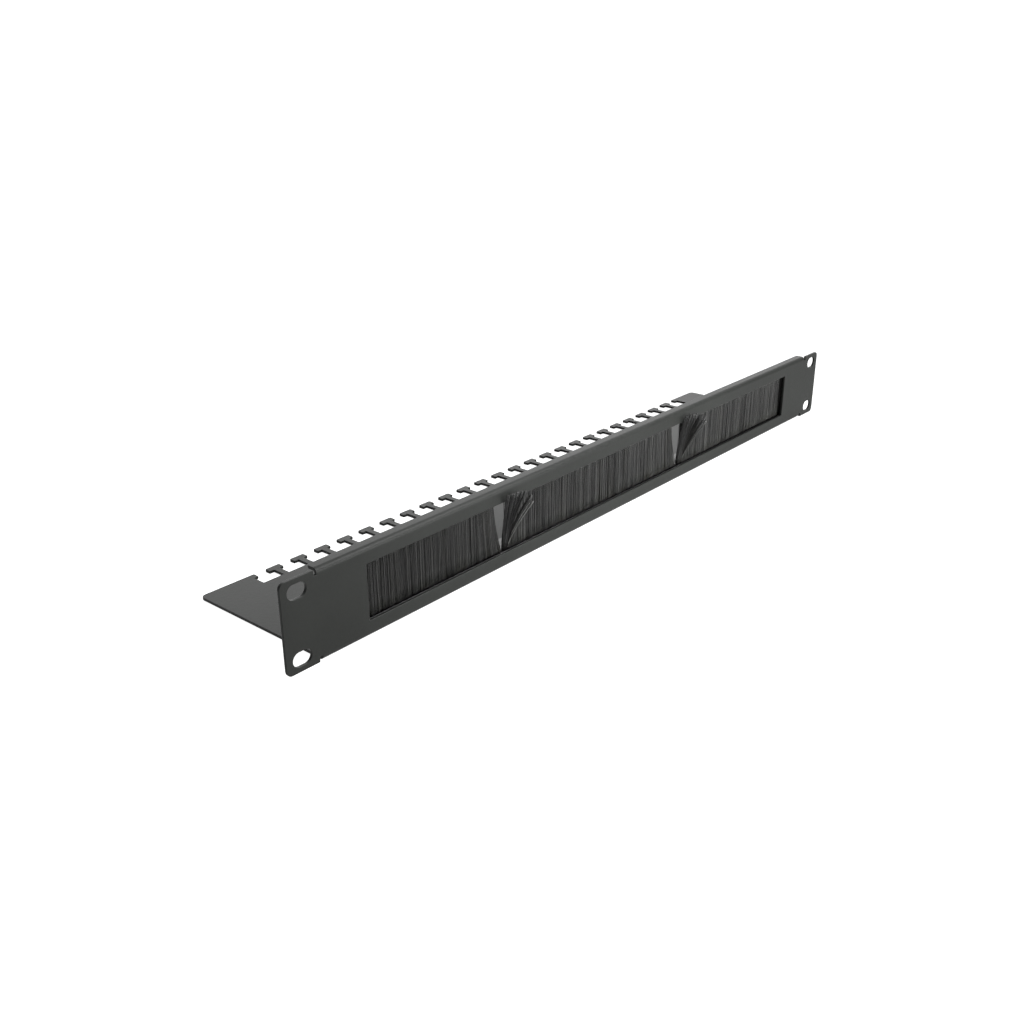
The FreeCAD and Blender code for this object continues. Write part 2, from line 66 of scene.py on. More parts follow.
# Places that the bristles share with the solids
CHANNEL_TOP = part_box("brush_channel")[1].z
BRUSH_MIDDLE = sum(corner.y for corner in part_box("brush_channel")) / 2
BRISTLE_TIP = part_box("bristles_middle")[1].z
TIP_HALF = (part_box("bristles_middle")[1].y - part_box("bristles_middle")[0].y) / 2
ROOT_HALF = 1.0 * MM
ROOT_SUNK = 0.4 * MM
BRISTLE_FOOT = CHANNEL_TOP - ROOT_SUNK
FLOOR_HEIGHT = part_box("panel")[0].z
SHEET_THICKNESS = 1.5 * MM

# Middles of the tie teeth along the tray, counted from the one right of the centre
TOOTH_PITCH = 15.68 * MM
FIRST_TOOTH = 9.44 * MM
TEETH_EACH_SIDE = 12
TOOTH_MIDDLES = [FIRST_TOOTH + number * TOOTH_PITCH
                 for number in range(-TEETH_EACH_SIDE, TEETH_EACH_SIDE)]

# Viewpoint of the photograph: yaw, pitch and roll in degrees, and the camera's place
CAMERA_ANGLES = (49.57, 22.87, -0.26)
CAMERA_PLACE = (-0.47886, -0.32773, 0.21907)


# Settings

class SheetSettings(PropertyGroup):
    """Finish of the folded sheet."""

    coat_colour: FloatVectorProperty(
        name="Coat colour", description="Base colour of the powder coat",
        subtype="COLOR", size=3, min=0.0, max=1.0, default=(0.0072, 0.0077, 0.0071))
    edge_colour: FloatVectorProperty(
        name="Edge colour", description="Colour where the coat runs thin along the edges",
        subtype="COLOR", size=3, min=0.0, max=1.0, default=(0.0128, 0.0134, 0.0128))
    roughness: FloatProperty(
        name="Roughness", description="Mean roughness of the coat",
        min=0.0, max=1.0, default=0.46)
    sheen: FloatProperty(
        name="Sheen", description="Strength of the coat's reflections",
        min=0.0, max=1.0, default=0.07)
    grain: FloatProperty(
        name="Grain", description="Width of one grain of the coat's fine texture",
        subtype="DISTANCE", unit="LENGTH", min=0.0001, max=0.005, default=0.00042)
    edge_radius: FloatProperty(
        name="Edge radius", description="Rounding of the punched edges under the coat",
        subtype="DISTANCE", unit="LENGTH", min=0.00002, max=0.0005, default=0.00022)
    corner_radius: FloatProperty(
        name="Corner radius", description="Rounding of the punched corners of teeth and window",
        subtype="DISTANCE", unit="LENGTH", min=0.0001, max=0.001, default=0.00035)


class BrushSettings(PropertyGroup):
    """Filaments of the brush and how they stand."""

    filament: FloatProperty(
        name="Filament", description="Diameter of one bristle",
        subtype="DISTANCE", unit="LENGTH", min=0.0001, max=0.001, default=0.00024)
    density: FloatProperty(
        name="Density", description="Bristles per millimetre of brush",
        min=2.0, max=40.0, default=24.0)
    dark_colour: FloatVectorProperty(
        name="Dark bristles", description="Colour of the darkest bristles",
        subtype="COLOR", size=3, min=0.0, max=1.0, default=(0.0024, 0.0024, 0.0025))
    light_colour: FloatVectorProperty(
        name="Light bristles", description="Colour of the lightest bristles",
        subtype="COLOR", size=3, min=0.0, max=1.0, default=(0.0175, 0.0180, 0.0168))
    # Serves the few frayed bristles and the painted highlight along each tuft's far edge
    frayed_and_highlight_colour: FloatVectorProperty(
        name="Frayed and highlit bristles", description="Colour of the few bristles that are rubbed pale, and of the painted highlight along each tuft's far edge",
        subtype="COLOR", size=3, min=0.0, max=1.0, default=(0.075, 0.076, 0.072))
    # Painted light: below this height the bristles are painted paler, against the shade above the
    # sill
    painted_light_up_to: FloatProperty(
        name="Painted light up to", description="Height below which the bristles are painted paler as painted light",
        subtype="DISTANCE", unit="LENGTH", min=-0.02, max=0.02, default=-0.006)
    sheen: FloatProperty(
        name="Sheen", description="Strength of the gloss of the bristles",
        min=0.0, max=1.0, default=0.38)
    ragged: FloatProperty(
        name="Ragged tips", description="How much the bristles differ in length",
        subtype="DISTANCE", unit="LENGTH", min=0.0, max=0.002, default=0.0004)
    seed: IntProperty(
        name="Seed", description="Number that the scatter of the bristles starts from",
        min=0, default=11)


class FixingSettings(PropertyGroup):
    """Studs, nuts and washers."""

    thread_pitch: FloatProperty(
        name="Thread pitch", description="Height of one turn of the stud's thread",
        subtype="DISTANCE", unit="LENGTH", min=0.0002, max=0.002, default=0.0005)
    zinc_colour: FloatVectorProperty(
        name="Zinc colour", description="Base colour of the plated fixings",
        subtype="COLOR", size=3, min=0.0, max=1.0, default=(0.62, 0.63, 0.65))


class StageSettings(PropertyGroup):
    """Floor, lights and camera."""

    floor_colour: FloatVectorProperty(
        name="Floor colour", description="Colour of the floor under its own glow",
        subtype="COLOR", size=3, min=0.0, max=1.0, default=(0.30, 0.30, 0.30))
    floor_glow: FloatProperty(
        name="Floor glow", description="Light that the floor gives off by itself",
        min=0.0, max=2.0, default=0.9)
    sky: FloatProperty(
        name="Fill light", description="Mean strength of the light from all around",
        min=0.0, max=10.0, default=0.18)
    backlight: FloatProperty(
        name="Back light", description="Strength of the brighter field at the right rear",
        min=0.0, max=10.0, default=4.0)
    key: FloatProperty(
        name="Main light", description="Power of the large lamp in front",
        subtype="POWER", unit="POWER", min=0.0, max=1000.0, default=3.1)
    side: FloatProperty(
        name="Side light", description="Power of the lamp above the front that lights the fold",
        subtype="POWER", unit="POWER", min=0.0, max=1000.0, default=1.2)
    lens: FloatProperty(
        name="Lens", description="Focal length of the camera on a 36 mm sensor",
        subtype="DISTANCE_CAMERA", min=10.0, max=200.0, default=38.215)


# Shaders

class Signal:
    """A shader output that can stand in a Python expression."""

    def __init__(self, shader, socket):
        self.shader = shader
        self.socket = socket

    def maths(self, operation, first, second):
        return self.shader.node("ShaderNodeMath", {"operation": operation}, {0: first, 1: second})

    def __add__(self, other):
        return self.maths("ADD", self, other)

    def __radd__(self, other):
        return self.maths("ADD", other, self)

    def __sub__(self, other):
        return self.maths("SUBTRACT", self, other)

    def __mul__(self, other):
        return self.maths("MULTIPLY", self, other)

    def __pow__(self, other):
        return self.maths("POWER", self, other)


class Shader:
    """Builds the nodes of one material, or of the light from all around."""

    def __init__(self, owner, place="Object"):
        self.owner = owner
        owner.use_nodes = True
        self.tree = owner.node_tree
        self.tree.nodes.clear()
        self.place = self.node("ShaderNodeTexCoord", output=place)

    def node(self, kind, settings=None, inputs=None, output=0):
        """Add a node, set it up, feed its sockets and return one of its outputs."""
        made = self.tree.nodes.new(kind)
        for key, setting in (settings or {}).items():
            setattr(made, key, setting)
        for key, feed in (inputs or {}).items():
            if isinstance(feed, Signal):
                self.tree.links.new(feed.socket, made.inputs[key])
            elif feed is not None:
                made.inputs[key].default_value = feed
        return None if output is None else Signal(self, made.outputs[output])

    def stretched(self, factors):
        """Object coordinates multiplied by a factor along each axis."""
        return self.node("ShaderNodeVectorMath", {"operation": "MULTIPLY"},
                         {0: self.place, 1: factors})

    def noise(self, scale, detail=2.0, vector=None):
        """Soft noise from 0 to 1 with so many cells per metre."""
        return self.node("ShaderNodeTexNoise", None,
                         {"Vector": vector or self.place, "Scale": scale, "Detail": detail},
                         "Fac")

    def levels(self, signal, low, high, to_low=0.0, to_high=1.0):
        """Spread the part of a signal from low to high over another span."""
        return self.node("ShaderNodeMapRange", {"clamp": True},
                         {"Value": signal, "From Min": low, "From Max": high,
                          "To Min": to_low, "To Max": to_high})

    def mix(self, factor, first, second):
        """Mix two colours."""
        return self.node("ShaderNodeMix", {"data_type": "RGBA", "clamp_factor": True},
                         {0: factor, 6: colour(first), 7: colour(second)}, 2)

    def attribute(self, name):
        """Number stored on the piece's own mesh."""
        return self.node("ShaderNodeAttribute", {"attribute_name": name}, None, "Fac")

    def bump(self, height, distance, strength=1.0, normal=None):
        """Normal of a surface raised by a height from 0 to 1 times the distance."""
        return self.node("ShaderNodeBump", None,
                         {"Strength": strength, "Distance": distance, "Height": height,
                          "Normal": normal})

    def surface(self, **sockets):
        """Close the material with one principled surface."""
        inputs = {key.replace("_", " "): feed for key, feed in sockets.items()}
        base = inputs["Base Color"]
        if not isinstance(base, Signal):
            inputs["Base Color"] = colour(base)
        return self.end("ShaderNodeOutputMaterial",
                        self.node("ShaderNodeBsdfPrincipled", None, inputs))

    def end(self, kind, shaded):
        """Lead the last shader to the output and return the finished material or world."""
        self.node(kind, None, {"Surface": shaded}, None)
        return self.owner


def colour(value):
    """A colour with its alpha, or a signal as it is."""
    if isinstance(value, Signal):
        return value
    return tuple(value)[:3] + (1.0,)


def powder_coat(settings):
    """Satin black powder coat: fine grain over a faint orange peel, thinner on the edges."""
    s = Shader(bpy.data.materials.new("satin_powder_coat"))
    grain = s.noise(1.0 / settings.grain, 2.0)
    peel = s.noise(520.0, 1.0)
    cloud = s.noise(16.0, 3.0)
    edge = s.attribute("edge")
    lifted = tuple(c * 1.35 for c in settings.coat_colour)
    coat = s.mix(s.levels(cloud, 0.3, 0.7), settings.coat_colour, lifted)
    coat = s.mix(s.levels(grain, 0.55, 0.85) * 0.35, coat, settings.edge_colour)
    coat = s.mix(edge * s.levels(peel, 0.25, 0.6, 0.35, 0.9), coat, settings.edge_colour)
    rough = settings.roughness + (grain - 0.5) * 0.12 + (cloud - 0.5) * 0.10 - edge * 0.06
    fine = s.bump(grain, 0.000022)
    normal = s.bump(peel, 0.00006, 0.6, fine)
    return s.surface(Base_Color=coat, Roughness=rough, Normal=normal,
                     Specular_IOR_Level=settings.sheen)


def bristle_nylon(settings):
    """Black nylon filaments that differ in tone, painted paler towards the bottom as painted light
    and darkened at their roots as painted shade.
    """
    painted_light_gain = 3.2
    # Heights of the painted shade at the bristles' roots
    root_shade_up_to, root_shade_from = CHANNEL_TOP + 0.2 * MM, CHANNEL_TOP + 1.3 * MM
    s = Shader(bpy.data.materials.new("black_nylon_bristle"))
    tone = s.attribute("tone")
    streak = s.noise(1.0, 2.0, s.stretched((900.0, 500.0, 22.0)))
    tint = s.noise(1.0, 1.0, s.stretched((160.0, 60.0, 20.0)))
    depth = tone * 0.8 + streak * 0.4 - 0.1
    nylon = s.mix(depth, settings.dark_colour, settings.light_colour)
    warm = tuple(c * f for c, f in zip(settings.light_colour, (0.52, 0.50, 0.40)))
    nylon = s.mix(s.levels(tint, 0.5, 0.72, 0.0, 0.35), nylon, warm)
    # Tones above one take the frayed colour: a few frayed bristles, and the painted highlight on
    # each tuft's far edge
    nylon = s.mix(s.levels(tone, 1.05, 1.45), nylon, settings.frayed_and_highlight_colour)
    height = s.node("ShaderNodeSeparateXYZ", None, {"Vector": s.place}, "Z")
    # Painted light: towards the channel the bristles are painted up to this gain paler, against the
    # shade above the sill
    paler = s.node("ShaderNodeMix", {"data_type": "RGBA", "blend_type": "MULTIPLY"},
                   {0: 1.0, 6: nylon, 7: (painted_light_gain, painted_light_gain, painted_light_gain, 1.0)}, 2)
    nylon = s.mix(s.levels(height, settings.painted_light_up_to, CHANNEL_TOP), nylon, paler)
    # Painted shade: from a little above the channel's top downwards the bristles turn to the dark
    # colour
    nylon = s.mix(s.levels(height, root_shade_from, root_shade_up_to), nylon, settings.dark_colour)
    rough = 0.36 + streak * 0.16
    return s.surface(Base_Color=nylon, Roughness=rough, Specular_IOR_Level=settings.sheen)


def nylon_for(settings):
    """The bristles' material, made once."""
    return bpy.data.materials.get("black_nylon_bristle") or bristle_nylon(settings)


def drawn_metal(name, base, shade, roughness, metallic, along):
    """Metal with fine lines along one axis, as from a die or rolls."""
    s = Shader(bpy.data.materials.new(name))
    factors = [2600.0, 2600.0, 2600.0]
    factors["XYZ".index(along)] = 30.0
    lines = s.noise(1.0, 3.0, s.stretched(factors))
    cloud = s.noise(60.0, 3.0)
    metal = s.mix(s.levels(cloud, 0.3, 0.7), base, shade)
    metal = s.mix(s.levels(lines, 0.45, 0.8) * 0.4, metal, shade)
    rough = roughness + (lines - 0.5) * 0.22 + (cloud - 0.5) * 0.10
    normal = s.bump(lines, 0.000012, 0.7)
    return s.surface(Base_Color=metal, Metallic=metallic, Roughness=rough, Normal=normal)


def zinc_plate(settings):
    """Bright zinc plate with a faint blue and yellow bloom."""
    s = Shader(bpy.data.materials.new("zinc_plate"))
    bloom = s.noise(420.0, 2.0)
    fine = s.noise(5200.0, 2.0)
    bluish = tuple(c * f for c, f in zip(settings.zinc_colour, (0.86, 0.95, 1.08)))
    yellowish = tuple(c * f for c, f in zip(settings.zinc_colour, (1.06, 1.0, 0.84)))
    plate = s.mix(s.levels(bloom, 0.35, 0.65), bluish, yellowish)
    rough = 0.26 + fine * 0.14 + (bloom - 0.5) * 0.12
    return s.surface(Base_Color=plate, Metallic=1.0, Roughness=rough,
                     Normal=s.bump(fine, 0.000008))


def studio_floor(settings):
    """Floor whose own white glow keeps it even, with a breath of grain."""
    s = Shader(bpy.data.materials.new("studio_floor"))
    grain = s.noise(700.0, 2.0)
    shade = tuple(c * 0.985 for c in settings.floor_colour)
    paint = s.mix(grain, settings.floor_colour, shade)
    return s.surface(Base_Color=paint, Roughness=0.85 + grain * 0.1, Specular_IOR_Level=0.2,
                     Emission_Color=(1.0, 1.0, 1.0, 1.0), Emission_Strength=settings.floor_glow)


# Pieces

def show(name, mesh, material, slot, *stands_for):
    """Put a finished mesh into the scene as one piece of the object."""
    piece = bpy.data.objects.new(name, mesh)
    bpy.context.scene.collection.objects.link(piece)
    mesh.materials.clear()
    mesh.materials.append(material)
    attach(piece, "root")
    if stands_for:
        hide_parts(*stands_for)
    return piece


def merged_solid(node, cuts=()):
    """Copy of a solid's mesh with its doubles merged and its flat faces joined.

    A wide sheet is cut across first at some places, so that no face has too many corners.
    """
    bm = bmesh.new()
    bm.from_mesh(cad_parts[node].data)
    bmesh.ops.remove_doubles(bm, verts=bm.verts, dist=0.002 * MM)
    for place in cuts:
        made = bmesh.ops.bisect_plane(
            bm, geom=list(bm.verts) + list(bm.edges) + list(bm.faces), dist=0.001 * MM,
            plane_co=Vector((place, 0.0, 0.0)), plane_no=Vector((1.0, 0.0, 0.0)))
        for part in made["geom_cut"]:
            if isinstance(part, bmesh.types.BMEdge):
                part.seam = True
    bmesh.ops.dissolve_limit(bm, angle_limit=math.radians(0.4), verts=bm.verts, edges=bm.edges,
                             delimit={"SEAM"})
    return bm


def shortest_side(corner):
    """Length of the shortest edge that meets a corner's own edge."""
    return min(side.calc_length() for end in corner.verts for side in end.link_edges)


def rounded_corners(bm, thickness, radius):
    """Round the upright edges of the punched corners, which are as long as the sheet is thick.

    A corner whose sides are too short for the radius stays sharp.
    """
    corners = [e for e in bm.edges
               if len(e.link_faces) == 2 and abs(e.calc_length() - thickness) < 0.02 * MM
               and math.radians(60) < e.calc_face_angle(0.0) < math.radians(120)
               and shortest_side(e) > radius]
    bmesh.ops.bevel(bm, geom=corners, affect="EDGES", offset_type="OFFSET", offset=radius,
                    segments=3, profile=0.5, clamp_overlap=False, material=-1)


def rounded_edges(bm, radius):
    """Round every sharp edge and mark the new faces in the attribute called edge."""
    sharp = [e for e in bm.edges
             if len(e.link_faces) == 2 and e.calc_face_angle(0.0) > math.radians(35)]
    made = bmesh.ops.bevel(bm, geom=sharp, affect="EDGES", offset_type="OFFSET", offset=radius,
                           segments=2, profile=0.5, clamp_overlap=False, material=-1)
    layer = bm.loops.layers.float.new("edge")
    for face in made["faces"]:
        for loop in face.loops:
            loop[layer] = 1.0


def finished_mesh(bm, name, smooth=True):
    """Turn a bmesh into a mesh with smooth shading and free it."""
    for face in bm.faces:
        face.smooth = smooth
    mesh = bpy.data.meshes.new(name)
    bm.to_mesh(mesh)
    bm.free()
    return mesh


def even_shading(piece):
    """Let the broad faces keep their flat look beside the rounded edges."""
    modifier = piece.modifiers.new("even_shading", "WEIGHTED_NORMAL")
    modifier.mode = "FACE_AREA"
    modifier.weight = 50
    modifier.keep_sharp = True
    return piece


def edged_copy(node, name, radius, material, slot, corner_radius=None):
    """A solid's form with rounded edges, and with rounded corners where it is a sheet."""
    bm = merged_solid(node, TOOTH_MIDDLES if corner_radius else ())
    if corner_radius:
        rounded_corners(bm, SHEET_THICKNESS, corner_radius)
    rounded_edges(bm, radius)
    piece = show(name, finished_mesh(bm, name), material, slot, node)
    return even_shading(piece)


class Bristles:
    """Gathers bristles as thin rods and makes one mesh of them."""

    def __init__(self, name, settings):
        self.curve = bpy.data.curves.new(name, "CURVE")
        self.curve.dimensions = "3D"
        self.curve.bevel_depth = settings.filament / 2
        self.curve.bevel_resolution = 0
        self.curve.use_fill_caps = False
        self.name = name
        self.tones = []

    def add(self, points, tone, thickness=1.0, tip_shade=0.0):
        """One bristle from its root to its tip, whose tone may darken towards the tip as painted
        shade.
        """
        spline = self.curve.splines.new("POLY")
        spline.points.add(len(points) - 1)
        flat = []
        for point in points:
            flat.extend((point.x, point.y, point.z, 1.0))
        spline.points.foreach_set("co", flat)
        radii = [thickness] * len(points)
        radii[-1] = thickness * 0.55
        spline.points.foreach_set("radius", radii)
        last = len(points) - 1
        self.tones.extend(max(tone - tip_shade * level / last, 0.0) for level in range(last + 1))

    def mesh(self):
        """The rods as a mesh whose attribute called tone tells them apart."""
        rods = bpy.data.objects.new(self.name, self.curve)
        bpy.context.scene.collection.objects.link(rods)
        bpy.context.view_layer.update()
        mesh = bpy.data.meshes.new_from_object(
            rods.evaluated_get(bpy.context.evaluated_depsgraph_get()))
        bpy.data.objects.remove(rods)
        around = len(mesh.vertices) // len(self.tones)
        values = [tone for tone in self.tones for corner in range(around)]
        mesh.attributes.new("tone", "FLOAT", "POINT").data.foreach_set("value", values)
        return mesh


def sunk_roots(node, rods, tone):
    """The folded foot of a stretch of bristles in its channel, joined to its rods."""
    bm = merged_solid(node)
    cut = bmesh.ops.bisect_plane(
        bm, geom=list(bm.verts) + list(bm.edges) + list(bm.faces),
        plane_co=Vector((0.0, 0.0, CHANNEL_TOP - 0.3 * MM)), plane_no=UP, clear_outer=True)
    rim = [part for part in cut["geom_cut"] if isinstance(part, bmesh.types.BMEdge)]
    bmesh.ops.holes_fill(bm, edges=rim, sides=0)
    layer = bm.verts.layers.float.new("tone")
    for vert in bm.verts:
        vert[layer] = tone
    for face in bm.faces:
        face.smooth = False
    smooth_from = len(bm.faces)
    bm.from_mesh(rods)
    bpy.data.meshes.remove(rods)
    bm.faces.ensure_lookup_table()
    for face in bm.faces[smooth_from:]:
        face.smooth = True
    bmesh.ops.holes_fill(bm, edges=[edge for edge in bm.edges if edge.is_boundary], sides=0)
    mesh = bpy.data.meshes.new(node + "_filaments")
    bm.to_mesh(mesh)
    bm.free()
    return mesh


def wave(place, length, lane):
    """Smooth scatter from -1 to 1 along the brush, with waves of about the length."""
    return noise.noise(Vector((place / length, lane * 7.31, 0.37 * lane)))


def bristle_tone(rng, place, lane):
    """Tone of one bristle: broad streaks, narrow streaks and its own difference."""
    broad = 0.42 + 0.22 * wave(place, 5.0 * MM, 41.0 + lane)
    narrow = 0.34 * wave(place, 1.0 * MM, 57.0 + lane)
    own = rng.gauss(0.0, 0.17)
    light = 0.5 if rng.random() < 0.03 else 0.0
    return min(max(broad + narrow + own + light, 0.0), 1.3)


def half_depth(share):
    """Half the thickness of the brush at a share of its height: it opens just above its foot."""
    opened = min(share / 0.045, 1.0)
    return ROOT_HALF + (TIP_HALF - ROOT_HALF) * opened


def curtain(node, settings):
    """One stretch of upright bristles, gathered in uneven locks towards its tips.

    A close row along the middle of the brush keeps light from showing between the locks.
    """
    lean_run = 9.0 * MM
    close_spacing = 0.62 * settings.filament
    close_tip = BRISTLE_TIP - 1.3 * MM
    rng = random.Random(settings.seed + len(node))
    low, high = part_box(node)
    start, end = low.x + settings.filament / 2, high.x - settings.filament / 2
    tip_end = max(vert.co.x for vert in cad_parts[node].data.vertices
                  if vert.co.z > BRISTLE_TIP - 0.1 * MM)
    lean_reach = 0.93 * (high.x - tip_end)
    count = int((end - start) / MM * settings.density)
    rods = Bristles(node + "_rods", settings)
    for number in range(count):
        place = start + (number + rng.random()) / count * (end - start)
        depth = rng.uniform(-1.0, 1.0)
        lane = 1.0 if depth < -0.35 else 2.0 if depth < 0.35 else 3.0
        lean = lean_reach * math.exp(-(end - place) / lean_run)
        gather = 0.4 * MM * wave(place, 3.2 * MM, lane) + 0.2 * MM * wave(place, 1.3 * MM, lane + 5)
        stray = rng.gauss(0.0, 0.16 * MM)
        if rng.random() < 0.03:
            stray *= 4.0
        forth = 0.2 * MM * wave(place, 2.6 * MM, lane + 9)
        tip = BRISTLE_TIP - abs(rng.gauss(0.0, settings.ragged)) - 0.3 * settings.ragged
        tone = bristle_tone(rng, place, lane)
        points = []
        for share in (0.0, 0.045, 0.25, 0.5, 0.75, 1.0):
            eased = 1.0 - (1.0 - share) ** 1.9
            x = place - lean * eased + (gather + stray) * share ** 1.4
            y = (BRUSH_MIDDLE + depth * (half_depth(share) - settings.filament)
                 + forth * share * (1.0 - abs(depth)))
            z = BRISTLE_FOOT + (tip - BRISTLE_FOOT) * share
            points.append(Vector((min(max(x, start - lean_reach), end), y, z)))
        rods.add(points, tone, rng.uniform(0.85, 1.1))
    for number in range(int((end - start) / close_spacing)):
        place = start + number * close_spacing
        lean = lean_reach * math.exp(-(end - place) / lean_run)
        points = [Vector((place - lean * (1.0 - (1.0 - share) ** 1.9), BRUSH_MIDDLE,
                          BRISTLE_FOOT + (close_tip - BRISTLE_FOOT) * share))
                  for share in (0.0, 0.4, 1.0)]
        rods.add(points, bristle_tone(rng, place, 4.0))
    return sunk_roots(node, rods.mesh(), 0.15)


def tuft(node, settings):
    """Bunch of bristles dragged forward beside a parting, fanned out in pointed locks.

    From the near side of the bunch to its far side, each lock leans more to the right and is
    swept further forward, and every bristle keeps about the same length.
    """
    rng = random.Random(settings.seed * 3 + len(node))
    root_low, root_high = root_span(node)
    width = root_high - root_low
    near_drift, far_drift, fan = 6.5 * MM, 1.5 * MM, 4.0 * MM
    near_sweep, far_sweep = 8.5 * MM, 17.0 * MM
    crowding, highlight_edge_from = 0.62, 0.972
    full_length = BRISTLE_TIP - BRISTLE_FOOT + 1.3 * MM
    rods = Bristles(node + "_rods", settings)
    locks = 9
    ends = []
    for lock in range(locks):
        place = (lock + 0.5 + rng.uniform(-0.25, 0.25)) / locks
        ends.append((place, rng.gauss(0.0, 0.35 * MM), rng.uniform(0.0, 1.3) * MM,
                     rng.uniform(-0.08, 0.12)))
    count = int(width / MM * settings.density * 4.0)
    for number in range(count):
        far = ((number + rng.random()) / count) ** crowding
        depth = rng.uniform(-1.0, 1.0)
        place, forward, shorter, shade = ends[min(int(far * locks), locks - 1)]
        edge = far > highlight_edge_from
        loose = rng.random() < (0.28 if far > 0.8 else 0.08)
        gathered = 1.0 if edge else far + (place - far) * (0.3 if loose else 0.88)
        sweep = near_sweep + (far_sweep - near_sweep) * gathered ** 3 + forward
        drift = ((near_drift + far_drift) * gathered - near_drift
                 + fan * math.sin(math.pi * gathered ** 2))
        length = full_length - shorter - abs(rng.gauss(0.0, 0.4 * MM)) - (1.5 * MM if edge else 0.0)
        rise = math.sqrt(length ** 2 - sweep ** 2 - drift ** 2)
        astray = rng.gauss(0.0, 1.1 * MM if loose else 0.14 * MM)
        tone = 0.03 + shade + rng.gauss(0.0, 0.08)
        # The far edge's rods get tones in the frayed colour's range, a painted highlight along the
        # tuft's far edge; some loose rods are frayed pale
        tone += rng.uniform(1.2, 1.45) if edge else rng.uniform(0.0, 0.6) if loose else 0.0
        if loose and rng.random() < 0.12:
            tone += 0.9
        points = []
        for level in range(8):
            share = level / 7
            bent = share * (1.0 - gathered) + share ** 2 * gathered
            half = ROOT_HALF + ((0.2 if edge else 0.5) * MM - ROOT_HALF) * share
            points.append(Vector((
                root_low + width * (far + (gathered - far) * share) + drift * bent
                + astray * share ** 2,
                BRUSH_MIDDLE - sweep * share ** 1.25 + depth * (half - settings.filament / 2),
                BRISTLE_FOOT + rise * share)))
        # All but the far edge's bristles darken towards their tips as painted shade
        rods.add(points, tone, 1.15 if edge else rng.uniform(0.8, 1.0), 0.0 if edge else 0.2)
    return sunk_roots(node, rods.mesh(), 0.12)


def root_span(node):
    """Ends of a tuft's foot along the brush."""
    feet = [v.co.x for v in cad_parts[node].data.vertices if v.co.z < CHANNEL_TOP - MM]
    return min(feet), max(feet)


def lathe(outline, centre, steps):
    """Turn an outline of radius and height round an upright axis into a closed skin."""
    bm = bmesh.new()
    verts = [bm.verts.new((centre.x + radius, centre.y, height)) for radius, height in outline]
    edges = [bm.edges.new(pair) for pair in zip(verts, verts[1:])]
    bmesh.ops.spin(bm, geom=verts + edges, cent=centre, axis=UP, angle=math.tau, steps=steps,
                   use_merge=True, use_duplicate=False)
    bmesh.ops.remove_doubles(bm, verts=bm.verts, dist=0.0005 * MM)
    bmesh.ops.recalc_face_normals(bm, faces=bm.faces)
    return bm


def axes_of(node):
    """Upright axes of a row of fixings, found from the loose solids of their node."""
    bm = merged_solid(node)
    left = set(bm.verts)
    found = []
    while left:
        reached = {left.pop()}
        edge_of = list(reached)
        while edge_of:
            for edge in edge_of.pop().link_edges:
                for vert in edge.verts:
                    if vert in left:
                        left.discard(vert)
                        reached.add(vert)
                        edge_of.append(vert)
        xs = [v.co.x for v in reached]
        ys = [v.co.y for v in reached]
        found.append(Vector(((min(xs) + max(xs)) / 2, (min(ys) + max(ys)) / 2, 0.0)))
    bm.free()
    return sorted(found, key=lambda axis: axis.x)


def joined(name, parts):
    """One mesh from several."""
    bm = bmesh.new()
    for part in parts:
        bm.from_mesh(part)
        bpy.data.meshes.remove(part)
    mesh = bpy.data.meshes.new(name)
    bm.to_mesh(mesh)
    bm.free()
    return mesh


def threaded_stud(centre, pitch):
    """Clinched stud: flush head, plain neck, ridged thread and a chamfered tip."""
    low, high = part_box("studs")
    head, shank = 2.3 * MM, 1.5 * MM
    depth = 0.54 * pitch
    start = low.z + 2.5 * MM
    outline = [(0.0, low.z), (head, low.z), (head, low.z + 0.8 * MM), (shank, low.z + 0.8 * MM),
               (shank, start)]
    height = start
    while height + pitch < high.z - 0.35 * MM:
        outline.append((shank - depth, height + 0.35 * pitch))
        outline.append((shank, height + 0.85 * pitch))
        outline.append((shank, height + pitch))
        height += pitch
    outline += [(shank - 0.35 * MM, high.z), (0.0, high.z)]
    bm = lathe(outline, centre, 28)
    return finished_mesh(bm, "stud", smooth=True)


